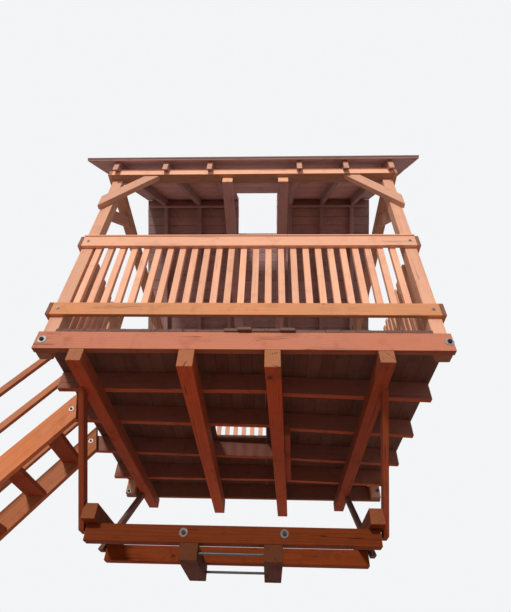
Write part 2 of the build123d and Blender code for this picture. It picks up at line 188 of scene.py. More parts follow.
# The photograph's view, as a place and directions in the object's frame
CAMERA_PLACE = (0.2701, -3.4167, -0.9263)
CAMERA_RIGHT = (0.99938, 0.02326, 0.02630)
CAMERA_UP = (-0.00325, -0.68452, 0.72899)
CAMERA_AHEAD = (-0.03496, 0.72862, 0.68402)
CAMERA_LENS = 25.73
CAMERA_SENSOR = 36.0
CAMERA_REACH = 100

# The way that the sun shines and how far its rays spread
SUN_RAY = (0.22, 1.0, -0.36)
SUN_SPREAD = math.radians(6)

# The fill light's size, its place from front to back and its height over the floor, in metres
FILL_SIZE = 3.0
FILL_Y = 0.2
FILL_LIFT = 0.1

# The floor's number of sides and its roughness
FLOOR_SIDES = 96
FLOOR_ROUGHNESS = 0.9


def colour(name, description, default):
    """A colour setting with the usual limits."""
    return FloatVectorProperty(
        name=name, description=description, default=default, size=3, min=0, max=1, subtype="COLOR"
    )


def length(name, description, default):
    """A length setting in metres."""
    return FloatProperty(name=name, description=description, default=default, min=0, unit="LENGTH")


def amount(name, description, default):
    """A setting for a light's strength."""
    return FloatProperty(name=name, description=description, default=default, min=0)


def number(name, description, default):
    """A setting for a number of pieces."""
    return IntProperty(name=name, description=description, default=default, min=1)


class TimberColours(bpy.types.PropertyGroup):
    """The light colour of each kind of timber, and of the steel."""

    pale: colour("Pale timber", "Posts, top rails, balusters and braces", (0.92, 0.52, 0.36))
    orange: colour("Orange timber", "Lower rails", (0.76, 0.35, 0.17))
    beam: colour("Beam timber", "The deck's front and rear beams", (0.55, 0.215, 0.135))
    dark: colour("Dark timber", "Bearers, joists and struts", (0.35, 0.078, 0.030))
    collar: colour("Collar timber", "The collar that holds the house up", (0.195, 0.036, 0.004))
    deck: colour("Deck boards", "Grey, weathered boards", (0.135, 0.066, 0.052))
    roof: colour("Roof timber", "Ties, rafters and roof boards", (0.58, 0.37, 0.36))
    stair: colour("Stair timber", "Stringers, stair posts and handrails", (0.72, 0.26, 0.11))
    tread: colour("Tread timber", "The stair's treads", (0.34, 0.085, 0.040))
    steel: colour("Zinc steel", "Bolts and washers", (0.40, 0.40, 0.41))


class BoardSizes(bpy.types.PropertyGroup):
    """Sizes of the boards that the frame's solids stand for."""

    ease: length("Eased edge", "Width of the rounding on the timbers' edges", 0.004)
    board_gap: length("Board gap", "Gap between two deck boards", 0.0006)
    left_boards: number("Left boards", "Deck boards left of the well", 10)
    middle_boards: number("Middle boards", "Deck boards in line with the well", 5)
    right_boards: number("Right boards", "Deck boards right of the well", 11)
    roof_board: length("Roof board", "Width of a roof board along the slope", 0.136)
    roof_lining: length("Roof lining", "Thickness of the boards under the roof", 0.017)
    roof_joint: length("Roof joint", "Gap between two boards of the lining", 0.004)
    roof_lap: length("Roof lap", "How far a roof board reaches under the next one up", 0.004)


class FastenerSizes(bpy.types.PropertyGroup):
    """Sizes of the bolts and washers."""

    washer_radius: length("Washer radius", "Radius of the large washers on the beams", 0.031)
    small_radius: length("Small washer radius", "Radius of the washers on the rails", 0.013)
    washer_thickness: length("Washer thickness", "Thickness of a washer", 0.004)
    nut_radius: length("Nut radius", "Radius of a nut over its corners", 0.015)
    nut_height: length("Nut height", "Height of a nut", 0.012)


class StageSettings(bpy.types.PropertyGroup):
    """The floor, the light and the background."""

    floor_height: FloatProperty(
        name="Floor height", description="Height of the floor", default=-2.55, unit="LENGTH"
    )
    floor_radius: length("Floor radius", "Radius of the round floor", 14.0)
    floor: colour("Floor", "Colour of the floor", (0.80, 0.79, 0.77))
    bounce: colour("Bounce", "Colour of the light that the floor gives back", (0.40, 0.24, 0.18))
    background: colour("Background", "Colour behind the object", (0.90, 0.91, 0.92))
    sun: amount("Sun", "Strength of the main light", 2.4)
    sun_colour: colour("Sun colour", "Colour of the main light", (1.0, 0.93, 0.86))
    fill: amount("Fill", "Power of the warm light under the house", 16)
    fill_colour: colour("Fill colour", "Colour of the light under the house", (1.0, 0.42, 0.22))
    sky: amount("Sky", "Strength of the light from all round", 0.5)
    sky_colour: colour("Sky colour", "Colour of the light from all round", (1.0, 0.95, 0.92))


class TreeHouseSettings(bpy.types.PropertyGroup):
    """All the settings of the tree house."""

    colours: PointerProperty(type=TimberColours)
    boards: PointerProperty(type=BoardSizes)
    fasteners: PointerProperty(type=FastenerSizes)
    stage: PointerProperty(type=StageSettings)


# Shader node groups and materials


def new_group(name, inputs, outputs):
    """Starts a shader node group with named sockets and returns it with its two end nodes."""
    group = bpy.data.node_groups.new(name, "ShaderNodeTree")
    for label, kind, default in inputs:
        socket = group.interface.new_socket(label, in_out="INPUT", socket_type=kind)
        if default is not None:
            socket.default_value = default
    for label, kind in outputs:
        group.interface.new_socket(label, in_out="OUTPUT", socket_type=kind)
    return group, group.nodes.new("NodeGroupInput"), group.nodes.new("NodeGroupOutput")


class Wiring:
    """Adds nodes to a node tree and links them in one call each."""

    # The mix node's colour sockets, which share their names with its other sockets
    mix_first = 6
    mix_second = 7
    mix_result = 2

    def __init__(self, tree):
        self.tree = tree

    def new(self, kind):
        """Adds a node."""
        return self.tree.nodes.new(kind)

    def put(self, socket, value):
        """Links a socket to another one, or sets its value."""
        if isinstance(value, bpy.types.NodeSocket):
            self.tree.links.new(value, socket)
        else:
            socket.default_value = value

    def set_inputs(self, node, values):
        """Links or sets a node's inputs by their names."""
        for label, value in values.items():
            self.put(node.inputs[label], value)

    def math(self, operation, *values, clamp=False):
        """Works out one number."""
        node = self.new("ShaderNodeMath")
        node.operation = operation
        node.use_clamp = clamp
        for socket, value in zip(node.inputs, values):
            self.put(socket, value)
        return node.outputs[0]

    def times(self, first, second):
        """Multiplies two numbers."""
        return self.math("MULTIPLY", first, second)

    def plus(self, first, second, clamp=False):
        """Adds two numbers."""
        return self.math("ADD", first, second, clamp=clamp)

    def distance(self, vector):
        """The length of a vector."""
        node = self.new("ShaderNodeVectorMath")
        node.operation = "LENGTH"
        self.put(node.inputs[0], vector)
        return node.outputs["Value"]

    def stretch(self, vector, share):
        """Draws a pattern out along the timber, the more the smaller the share."""
        node = self.new("ShaderNodeVectorMath")
        node.operation = "MULTIPLY"
        self.put(node.inputs[0], vector)
        node.inputs[1].default_value = (share, 1.0, 1.0)
        return node.outputs["Vector"]

    def noise(self, vector, scale, detail=3.0, roughness=0.5, distortion=0.0):
        """A cloudy pattern."""
        node = self.new("ShaderNodeTexNoise")
        settings = {"Scale": scale, "Detail": detail, "Roughness": roughness, "Distortion": distortion}
        self.set_inputs(node, {"Vector": vector, **settings})
        return node.outputs["Fac"]

    def voronoi(self, vector, scale):
        """The distance to the nearest of some scattered points."""
        node = self.new("ShaderNodeTexVoronoi")
        self.set_inputs(node, {"Vector": vector, "Scale": scale})
        return node.outputs["Distance"]

    def ramp(self, value, low, high, to_low=0.0, to_high=1.0):
        """Maps a number smoothly from one range to another."""
        node = self.new("ShaderNodeMapRange")
        node.interpolation_type = "SMOOTHSTEP"
        ends = {"From Min": low, "From Max": high, "To Min": to_low, "To Max": to_high}
        self.set_inputs(node, {"Value": value, **ends})
        return node.outputs["Result"]

    def fall(self, value, low, high):
        """A mask that falls smoothly from 1 to 0."""
        return self.ramp(value, low, high, 1.0, 0.0)

    def mix(self, factor, first, second, blend="MIX"):
        """Mixes two colours."""
        node = self.new("ShaderNodeMix")
        node.data_type = "RGBA"
        node.blend_type = blend
        self.put(node.inputs["Factor"], factor)
        self.put(node.inputs[self.mix_first], first)
        self.put(node.inputs[self.mix_second], second)
        return node.outputs[self.mix_result]

    def split(self, vector):
        """The three numbers of a vector."""
        node = self.new("ShaderNodeSeparateXYZ")
        self.put(node.inputs[0], vector)
        return node.outputs

    def join(self, x, y, z):
        """A vector of three numbers."""
        node = self.new("ShaderNodeCombineXYZ")
        for socket, value in zip(node.inputs, (x, y, z)):
            self.put(socket, value)
        return node.outputs[0]

    def attribute(self, name, output="Fac"):
        """What a piece's mesh says under a name."""
        node = self.new("ShaderNodeAttribute")
        node.attribute_name = name
        return node.outputs[output]

    def group(self, name, values):
        """Places a node group with its values and returns its outputs."""
        node = self.new("ShaderNodeGroup")
        node.node_tree = bpy.data.node_groups[name]
        self.set_inputs(node, values)
        return node.outputs


def sawn_grain_group():
    """The figure of sawn softwood: growth rings, fibres, knots, drying cracks and end checks."""
    group, start, end = new_group(
        "Sawn Grain",
        [
            ("Along", "NodeSocketVector", None),
            ("Rings", "NodeSocketFloat", 85.0),
            ("Knots", "NodeSocketFloat", 1.0),
            ("Cracks", "NodeSocketFloat", 1.0),
        ],
        [(label, "NodeSocketFloat") for label in ("Figure", "Knot", "Crack", "Height", "Check")],
    )
    w = Wiring(group)
    given = start.outputs
    along = given["Along"]

    # Knots, and the swirl that they make in the rings near them
    knot_distance = w.voronoi(w.stretch(along, 0.8), scale=3.4)
    knot = w.times(w.fall(knot_distance, low=0.045, high=0.075), given["Knots"])
    swirl = w.times(w.fall(knot_distance, low=0.05, high=0.24), given["Knots"])

    # Growth rings round the log's heart, in or beside the timber
    y, z = w.split(along)[1:]
    heart_y = w.plus(y, 0.045)
    heart_z = w.plus(z, 0.11)
    ring_count = w.times(w.distance(w.join(0.0, heart_y, heart_z)), given["Rings"])
    drift = w.noise(w.stretch(along, 0.08), scale=9.0)
    ring_count = w.plus(ring_count, w.times(drift, 4.2))
    ring_count = w.plus(ring_count, w.times(swirl, 1.6))
    wave = w.math("FRACT", ring_count)
    ring = w.times(w.ramp(wave, low=0.0, high=0.72), w.fall(wave, low=0.86, high=1.0))

    # Fibres and blotches over the rings
    fibre = w.noise(w.stretch(along, 0.018), scale=420.0, detail=4.0, roughness=0.62)
    blotch = w.noise(w.stretch(along, 0.3), scale=14.0, detail=4.0, roughness=0.6)
    figure = w.plus(w.times(ring, 0.36), w.times(fibre, 0.5))
    figure = w.plus(figure, w.times(blotch, 0.35), clamp=True)

    # Drying cracks, thin lines along the timber that come and go
    crack_line = w.noise(w.stretch(along, 0.012), scale=34.0, detail=2.0)
    off_line = w.math("ABSOLUTE", w.math("SUBTRACT", crack_line, 0.5))
    cracked = w.ramp(w.noise(along, scale=3.1, detail=2.0), low=0.5, high=0.58)
    crack = w.times(w.fall(off_line, low=0.002, high=0.008), cracked)
    crack = w.times(crack, given["Cracks"])

    # Relief, in which the cracks are deepest
    height = w.plus(w.times(ring, 0.3), w.times(fibre, 0.7))
    height = w.math("SUBTRACT", height, w.times(crack, 1.5))

    # Checks, which run out from the heart on a cut end
    turn = w.math("ARCTAN2", heart_y, heart_z)
    waver = w.noise(along, scale=25.0, detail=1.0)
    spoke = w.math("FRACT", w.plus(w.times(turn, 1.9), w.times(waver, 0.12)))
    off_spoke = w.math("ABSOLUTE", w.math("SUBTRACT", spoke, 0.5))
    checked = w.ramp(w.noise(along, scale=16.0, detail=1.0), low=0.48, high=0.55)
    check = w.times(w.fall(off_spoke, low=0.01, high=0.04), checked)

    results = {"Figure": figure, "Knot": knot, "Crack": crack, "Height": height, "Check": check}
    for label, value in results.items():
        group.links.new(value, end.inputs[label])


def weathering_group():
    """Grey bleaching, dirt, cut ends and worn edges, laid over a timber's own colour."""
    group, start, end = new_group(
        "Weathering",
        [
            ("Colour", "NodeSocketColor", (0.5, 0.5, 0.5, 1.0)),
            ("Place", "NodeSocketVector", None),
            ("Dull", "NodeSocketFloat", 0.0),
            ("Greying", "NodeSocketFloat", 0.2),
            ("Dirt", "NodeSocketFloat", 0.3),
            ("Worn", "NodeSocketFloat", 0.0),
            ("End", "NodeSocketFloat", 0.0),
            ("End Colour", "NodeSocketColor", (0.2, 0.1, 0.08, 1.0)),
            ("Figure", "NodeSocketFloat", 0.5),
            ("Check", "NodeSocketFloat", 0.0),
        ],
        [("Colour", "NodeSocketColor"), ("Roughness", "NodeSocketFloat")],
    )
    w = Wiring(group)
    given = start.outputs
    place = given["Place"]

    # Bleaching in large clouds, and dark stains
    cloud = w.ramp(w.noise(place, scale=2.2, detail=4.0, roughness=0.6), low=0.35, high=0.7)
    grey = w.plus(w.times(cloud, given["Greying"]), given["Dull"], clamp=True)
    tinted = w.mix(grey, given["Colour"], GREYED)
    spots = w.noise(place, scale=7.5, detail=5.0, roughness=0.65, distortion=0.4)
    stain = w.ramp(spots, low=0.5, high=0.72)
    stained = w.mix(w.times(stain, given["Dirt"]), tinted, STAINED)

    # Cut ends, with their rings and checks
    rings = w.ramp(given["Figure"], low=0.1, high=0.9, to_low=0.62, to_high=1.12)
    cut = w.mix(1.0, given["End Colour"], w.join(rings, rings, rings), "MULTIPLY")
    cut = w.mix(w.times(given["Check"], CHECKS), cut, CHECKED)
    ended = w.mix(given["End"], stained, cut)

    # Wear on the rounded edges
    rubbed = w.ramp(w.noise(place, scale=30.0), low=0.35, high=0.65, to_low=0.1, to_high=0.55)
    worn = w.mix(w.times(given["Worn"], rubbed), ended, WORN, "SOFT_LIGHT")
    rough = w.plus(0.66, w.times(stain, 0.2))
    group.links.new(worn, end.inputs["Colour"])
    group.links.new(rough, end.inputs["Roughness"])


def start_material(name):
    """Makes a material without nodes and returns the wiring of its node tree."""
    material = bpy.data.materials.new(name)
    material.use_nodes = True
    material.node_tree.nodes.clear()
    return Wiring(material.node_tree)


def end_material(w, base, roughness, height, strength, depth):
    """Adds a shader with relief and the material's output, and returns the shader."""
    bump = w.new("ShaderNodeBump")
    w.set_inputs(bump, {"Strength": strength, "Distance": depth, "Height": height})
    shader = w.new("ShaderNodeBsdfPrincipled")
    shader.inputs["Specular IOR Level"].default_value = SHEEN
    w.put(shader.inputs["Base Color"], base)
    w.put(shader.inputs["Roughness"], roughness)
    w.put(shader.inputs["Normal"], bump.outputs["Normal"])
    output = w.new("ShaderNodeOutputMaterial")
    w.put(output.inputs["Surface"], shader.outputs["BSDF"])
    return shader


def shaded(light, shade):
    """A colour made darker channel by channel."""
    return (*(channel * part for channel, part in zip(light, shade)), 1.0)


def timber_material(slot, light, shade, end_colour, greying, dirt, cracks, rings, depth):
    """A sawn timber whose figure follows each piece's own length."""
    w = start_material(slot + FINISH)
    place = w.attribute("grain", "Vector")
    grain = w.group("Sawn Grain", {"Along": place, "Rings": rings, "Knots": KNOTS, "Cracks": cracks})
    dark = shaded(light, shade)
    base = w.mix(grain["Figure"], dark, (*light, 1.0))
    base = w.mix(grain["Knot"], base, shaded(dark, KNOT_SHADE))
    base = w.mix(grain["Crack"], base, shaded(dark, CRACK_SHADE))
    tone = w.attribute("tone")
    values = {
        "Colour": w.mix(1.0, base, w.join(tone, tone, tone), "MULTIPLY"),
        "Place": place,
        "Dull": w.attribute("dull"),
        "Greying": greying,
        "Dirt": dirt,
        "Worn": w.attribute("worn"),
        "End": w.attribute("cut"),
        "End Colour": (*end_colour, 1.0),
        "Figure": grain["Figure"],
        "Check": grain["Check"],
    }
    weather = w.group("Weathering", values)
    end_material(w, weather["Colour"], weather["Roughness"], grain["Height"], TIMBER_RELIEF, depth)


def steel_material(name, light):
    """Zinc plated steel with dull patches, a little rust, and parts made dark: aged nuts and bolt ends,
    and washers darkened as painted shade.
    """
    w = start_material(name + FINISH)
    place = w.new("ShaderNodeTexCoord").outputs["Object"]
    patches = w.noise(place, scale=60.0, detail=4.0)
    rust = w.ramp(w.noise(place, scale=38.0, detail=5.0, roughness=0.7), low=0.58, high=0.72)
    aged = w.attribute("aged")
    base = w.mix(patches, shaded(light, DULL_STEEL_SHADE), (*light, 1.0))
    base = w.mix(w.times(rust, 0.6), base, RUSTED)
    base = w.mix(aged, base, AGED_STEEL)
    rough = w.ramp(patches, low=0.2, high=0.8, to_low=0.34, to_high=0.6)
    shader = end_material(w, base, rough, patches, STEEL_RELIEF, STEEL_RELIEF_DEPTH)
    bright = w.ramp(rust, low=0.0, high=1.0, to_low=0.7, to_high=0.1)
    w.put(shader.inputs["Metallic"], w.times(w.math("SUBTRACT", 1.0, aged), bright))


def make_materials(colours):
    """Makes the node groups, one material for each of the record's slots and one for the rods."""
    sawn_grain_group()
    weathering_group()
    # The dark cut-end colour is partly darker end grain, and partly painted shade on ends that face away
    # from the light, such as the posts' bottoms and the rails' left ends
    dark_end_and_painted_shade = (0.16, 0.09, 0.075)
    brown_end = (0.42, 0.20, 0.10)
    # Slot, colour, shade of the dark rings, cut ends, greying, dirt, cracks, rings a metre, relief
    table = (
        ("pale_timber", colours.pale, (0.82, 0.74, 0.68), dark_end_and_painted_shade, 0.1, 0.14, 0.5, 95.0, 0.0012),
        ("orange_timber", colours.orange, (0.8, 0.7, 0.62), dark_end_and_painted_shade, 0.08, 0.18, 0.5, 80.0, 0.0012),
        ("beam_timber", colours.beam, (0.78, 0.7, 0.66), dark_end_and_painted_shade, 0.1, 0.2, 0.7, 75.0, 0.0014),
        ("dark_timber", colours.dark, (0.66, 0.6, 0.58), brown_end, 0.03, 0.3, 1.0, 70.0, 0.0016),
        ("collar_timber", colours.collar, (0.6, 0.55, 0.52), brown_end, 0.0, 0.2, 1.0, 70.0, 0.0022),
        ("deck_timber", colours.deck, (0.62, 0.6, 0.6), (0.17, 0.1, 0.085), 0.15, 0.35, 0.6, 80.0, 0.0016),
        ("roof_timber", colours.roof, (0.76, 0.7, 0.7), (0.9, 0.48, 0.29), 0.15, 0.25, 0.5, 75.0, 0.0014),
        ("stair_timber", colours.stair, (0.76, 0.68, 0.62), dark_end_and_painted_shade, 0.08, 0.2, 0.6, 80.0, 0.0012),
        ("tread_timber", colours.tread, (0.66, 0.6, 0.58), dark_end_and_painted_shade, 0.05, 0.3, 0.8, 70.0, 0.0016),
    )
    for slot, light, *rest in table:
        timber_material(slot, tuple(light), *rest)
    steel_material("zinc_steel", tuple(colours.steel))
    steel_material("rod_steel", tuple(channel * ROD_SHADE for channel in colours.steel))


# Mesh work that all the timbers share


def islands(mesh):
    """Lists the separate solids of a bmesh as lists of vertices."""
    seen = set()
    found = []
    for first in mesh.verts:
        if first in seen:
            continue
        seen.add(first)
        island = [first]
        for vertex in island:
            for edge in vertex.link_edges:
                other = edge.other_vert(vertex)
                if other not in seen:
                    seen.add(other)
                    island.append(other)
        found.append(island)
    return found


def mark_grain(mesh, seed, tone_range, tone_row, underside=1.0):
    """Gives every timber its own grain direction, tone and cut ends, as attributes, and paints light and
    shade on its undersides.
    """
    level, dullness, end_show = tone_row
    chance = random.Random(seed)
    grain = mesh.verts.layers.float_vector.new("grain")
    tone = mesh.faces.layers.float.new("tone")
    cut = mesh.faces.layers.float.new("cut")
    dull = mesh.faces.layers.float.new("dull")
    mesh.normal_update()
    for island in islands(mesh):
        edges = {edge for vertex in island for edge in vertex.link_edges}
        longest = max(edges, key=lambda edge: round(edge.calc_length(), LENGTH_DECIMALS))
        axis = (longest.verts[1].co - longest.verts[0].co).normalized()
        other_axis = Vector((0, 0, 1)) if abs(axis.z) < STEEP else Vector((0, 1, 0))
        side = axis.cross(other_axis).normalized()
        up = axis.cross(side)
        middle = sum((vertex.co for vertex in island), Vector()) / len(island)
        shift = Vector([chance.uniform(-GRAIN_SPREAD, GRAIN_SPREAD) for _ in range(3)])
        shift.y *= ACROSS_SHARE
        shift.z *= ACROSS_SHARE
        shade = level * (1 + chance.uniform(-tone_range, tone_range))
        for vertex in island:
            place = vertex.co - middle
            vertex[grain] = Vector((place.dot(axis), place.dot(side), place.dot(up))) + shift
        for face in {face for vertex in island for face in vertex.link_faces}:
            # Painted light and shade on undersides: their tone is scaled by the node's factor, and they
            # grey less
            down = face.normal.z < -DOWN_FACING
            face[tone] = shade * underside if down else shade
            face[dull] = dullness * UNDERSIDE_DULLNESS_AS_PAINTED_LIGHT if down else dullness
            face[cut] = end_show if abs(face.normal.dot(axis)) > END_FACING else 0.0


def ease_edges(mesh, width):
    """Rounds the sharp edges of a bmesh and marks the rounding as worn."""
    sharp = [edge for edge in mesh.edges if len(edge.link_faces) == 2 and edge.calc_face_angle(0) > CREASE]
    bmesh.ops.bevel(
        mesh, geom=sharp, offset=width, offset_type="OFFSET", clamp_overlap=True,
        segments=2, profile=0.5, affect="EDGES", material=-1
    )
    worn = mesh.faces.layers.float.new("worn")
    for face in mesh.faces:
        face[worn] = 1.0 if face.calc_area() < face.calc_perimeter() * width * NARROW else 0.0


def add_board(mesh, low, high):
    """Adds a board between two corners to a bmesh and returns its vertices."""
    low = Vector(low)
    high = Vector(high)
    place = Matrix.Translation((low + high) / 2) @ Matrix.Diagonal((*(high - low), 1))
    return bmesh.ops.create_cube(mesh, size=1, matrix=place)["verts"]


def new_object(name, data):
    """Makes an object of some data and links it to the scene."""
    made = bpy.data.objects.new(name, data)
    bpy.context.scene.collection.objects.link(made)
    return made


def object_of_mesh(mesh, name):
    """Turns a bmesh into an object."""
    data = bpy.data.meshes.new(name)
    mesh.to_mesh(data)
    mesh.free()
    return new_object(name, data)


def finish_piece(mesh, name, slot, nodes=()):
    """Turns a bmesh into a piece that rides on the frame and may replace CAD nodes."""
    piece = object_of_mesh(mesh, name)
    piece.data.materials.append(bpy.data.materials[slot + FINISH])
    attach(piece, BODY)
    if nodes:
        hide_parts(*nodes)


def merged_copy(node):
    """A bmesh of a CAD node with its triangles joined to whole faces."""
    mesh = bmesh.new()
    mesh.from_mesh(frame["nodes"][node].data)
    bmesh.ops.remove_doubles(mesh, verts=mesh.verts, dist=WELD)
    bmesh.ops.dissolve_limit(mesh, angle_limit=FLAT_ANGLE, verts=mesh.verts, edges=mesh.edges)
    return mesh


def corner_places(node, axis):
    """The different places of a CAD node's corners along one axis, from low to high."""
    corners = frame["nodes"][node].data.vertices
    return sorted({round(corner.co[axis], PLACE_DECIMALS) for corner in corners})


def ease_nodes(nodes, share=1.0, tone_range=TONE_RANGE):
    """Replaces CAD nodes' timbers with ones that have their grain and a share of the full rounding."""
    width = bpy.context.scene.tree_house.boards.ease * share
    for node in nodes:
        mesh = merged_copy(node)
        ease_edges(mesh, width)
        mark_grain(mesh, node, tone_range, TONES.get(node, PLAIN_TONE), UNDERSIDE_PAINTED_LIGHT_AND_SHADE.get(node, 1.0))
        finish_piece(mesh, f"{node}_timber", node_slots[node], (node,))


# The operators, one for each group of pieces


class TREEHOUSE_OT_collar(bpy.types.Operator):
    """Dresses the collar that holds the house up, with its blocks and clamping rods"""

    bl_idname = "tree_house.collar"
    bl_label = "Collar"

    def execute(self, context):
        ease_nodes(("collar_beam_front", "collar_beam_rear", "collar_side_beams", "trunk_blocks"))
        rods = frame["nodes"]["clamping_rods"]
        rods.data.materials.clear()
        rods.data.materials.append(bpy.data.materials["rod_steel" + FINISH])
        return {"FINISHED"}


class TREEHOUSE_OT_bearers(bpy.types.Operator):
    """Dresses the bearers, joists, deck beams and struts"""

    bl_idname = "tree_house.bearers"
    bl_label = "Bearers and Joists"

    def execute(self, context):
        ease_nodes(("outer_bearers", "left_inner_bearer", "right_inner_bearer", "bearer_splice"))
        ease_nodes(("left_joists", "right_joists", "deck_beam_front", "deck_beam_rear"))
        ease_nodes(("front_struts", "rear_struts"))
        return {"FINISHED"}


class TREEHOUSE_OT_deck(bpy.types.Operator):
    """Lays the deck boards, cut round the well and at the posts"""

    bl_idname = "tree_house.deck"
    bl_label = "Deck Boards"

    # How far some middle boards stand out over the front beam, counted from the left, in metres
    stand_out = {13: 0.012, 14: 0.028, 15: 0.010, 16: 0.011, 17: 0.022}

    # The least and the most that the other boards' ends stand out at the front and at the back
    uneven_front = (-0.003, 0.002)
    uneven_back = (-0.003, 0.003)

    def execute(self, context):
        sizes = context.scene.tree_house.boards
        chance = random.Random("deck")
        left_x = corner_places("deck_left", 0)
        right_x = corner_places("deck_right", 0)
        front, post_front, post_back, back = corner_places("deck_left", 1)
        well_front = corner_places("deck_front", 1)[-1]
        well_back = corner_places("deck_rear", 1)[0]
        low, high = corner_places("deck_left", 2)
        whole = ((front, back),)
        between_posts = ((post_front, post_back),)
        round_well = ((front, well_front), (well_back, back))
        fields = (
            (left_x[0], left_x[1], 1, between_posts),
            (left_x[1], left_x[2], sizes.left_boards, whole),
            (left_x[2], right_x[0], sizes.middle_boards, round_well),
            (right_x[0], right_x[1], sizes.right_boards, whole),
            (right_x[1], right_x[2], 1, between_posts),
        )
        mesh = bmesh.new()
        board = 0
        for start, end, count, runs in fields:
            pitch = (end - start) / count
            for i in range(count):
                left = start + i * pitch + sizes.board_gap / 2
                right = start + (i + 1) * pitch - sizes.board_gap / 2
                ahead = self.stand_out.get(board, chance.uniform(*self.uneven_front))
                behind = chance.uniform(*self.uneven_back)
                for near, far in runs:
                    near -= ahead if near == front else 0
                    far += behind if far == back else 0
                    add_board(mesh, (left, near, low), (right, far, high))
                board += 1
        ease_edges(mesh, sizes.ease * DECK_EASE)
        mark_grain(mesh, "deck boards", DECK_TONE_RANGE, DECK_TONE)
        nodes = ("deck_left", "deck_right", "deck_front", "deck_rear")
        finish_piece(mesh, "deck_boards", "deck_timber", nodes)
        return {"FINISHED"}


class TREEHOUSE_OT_house_frame(bpy.types.Operator):
    """Dresses the posts, roof beams, ties and knee braces"""

    bl_idname = "tree_house.house_frame"
    bl_label = "Posts and Beams"

    def execute(self, context):
        beams = ("corner_posts", "roof_beam_front", "roof_beam_rear", "side_plates", "tie_beams")
        braces = ("front_knees", "rear_knees", "side_knees")
        ease_nodes(beams + braces, tone_range=FRAME_TONE_RANGE)
        return {"FINISHED"}


class TREEHOUSE_OT_roof(bpy.types.Operator):
    """Dresses the rafters and ridge board and lays the roof boards"""

    bl_idname = "tree_house.roof"
    bl_label = "Roof"

    # The most that a board's end stands back, in metres
    end_play = 0.004

    # How much of its thickness a roof board loses at its upper edge
    taper = 0.6

    def execute(self, context):
        sizes = context.scene.tree_house.boards
        ease_nodes(("front_rafters", "rear_rafters", "ridge_board"))
        for node, side in (("roof_slope_front", 1), ("roof_slope_rear", -1)):
            self.cover(node, side, sizes)
        return {"FINISHED"}

    def cover(self, node, side, sizes):
        """Makes the lining and the lapped boards of one slope, cut round the well at the ridge."""
        corners = [vertex.co for vertex in frame["nodes"][node].data.vertices]
        low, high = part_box(node)
        eave_y, ridge_y = (low.y, high.y) if side > 0 else (high.y, low.y)
        eave_low = min(corner.z for corner in corners if abs(corner.y - eave_y) < SAME_PLACE)
        ridge_low = min(corner.z for corner in corners if abs(corner.y - ridge_y) < SAME_PLACE)
        run = Vector((0, ridge_y - eave_y, ridge_low - eave_low))
        angle = math.atan2(run.z, abs(run.y))
        thickness = (high.z - ridge_low) * math.cos(angle)
        well_left, well_right = corner_places(node, 0)[1:3]
        well_corners = [corner for corner in corners if abs(corner.x - well_left) < SAME_PLACE]
        well_depth = max(abs(corner.y - ridge_y) for corner in well_corners)
        well_start = run.length - well_depth / math.cos(angle)
        whole = ((low.x, high.x),)
        beside_well = ((low.x, well_left), (well_right, high.x))
        fields = ((0.0, well_start, whole), (well_start, run.length, beside_well))
        lining, boards = self.lay(node, fields, thickness, sizes)
        turn = Matrix.Rotation(angle, 4, "X")
        if side < 0:
            turn = Matrix.Scale(-1, 4, Vector((0, 1, 0))) @ turn
        place = Matrix.Translation((0, eave_y, eave_low)) @ turn
        layers = (
            ("lining", lining, TONES[node], ()),
            ("boards", boards, ROOF_TONE, (node,)),
        )
        for label, mesh, tone_row, nodes in layers:
            ease_edges(mesh, sizes.ease * ROOF_EASE)
            mark_grain(mesh, f"{node} {label}", ROOF_TONE_RANGE, tone_row)
            bmesh.ops.transform(mesh, matrix=place, verts=mesh.verts)
            if side < 0:
                bmesh.ops.reverse_faces(mesh, faces=mesh.faces)
            if label == "lining":
                self.darken_eaves(mesh)
            finish_piece(mesh, f"{node}_{label}", "roof_timber", nodes)

    def lay(self, node, fields, thickness, sizes):
        """Lays one slope flat, from the eave up, as a bmesh of its lining and one of its boards."""
        chance = random.Random(node)
        half_joint = sizes.roof_joint / 2
        board_thickness = thickness - sizes.roof_lining
        lining = bmesh.new()
        boards = bmesh.new()
        for start, end, rows in fields:
            count = round((end - start) / sizes.roof_board)
            pitch = (end - start) / count
            for i in range(count):
                foot = start + i * pitch
                for left, right in rows:
                    play = chance.uniform(0, self.end_play)
                    low = (left + play, foot + half_joint, 0)
                    high = (right - play, foot + pitch - half_joint, sizes.roof_lining)
                    add_board(lining, low, high)
                    low = (left + play, foot, sizes.roof_lining)
                    high = (right - play, foot + pitch + sizes.roof_lap, thickness)
                    for corner in add_board(boards, low, high):
                        at_top = corner.co.z > sizes.roof_lining + board_thickness / 2
                        if at_top and corner.co.y > foot + pitch / 2:
                            corner.co.z -= board_thickness * self.taper
        return lining, boards

    def darken_eaves(self, mesh):
        """Darkens the stretches of the boards that reach past the house's corner posts."""
        low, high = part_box("corner_posts")
        for axis in (0, 1):
            for place in (low, high):
                cut = Vector((0, 0, 0))
                cut[axis] = 1
                geometry = [*mesh.verts, *mesh.edges, *mesh.faces]
                bmesh.ops.bisect_plane(mesh, geom=geometry, plane_co=place, plane_no=cut)
        tone = mesh.faces.layers.float["tone"]
        for face in mesh.faces:
            middle = face.calc_center_median()
            if not (low.x < middle.x < high.x and low.y < middle.y < high.y):
                face[tone] *= EAVES_SHADE


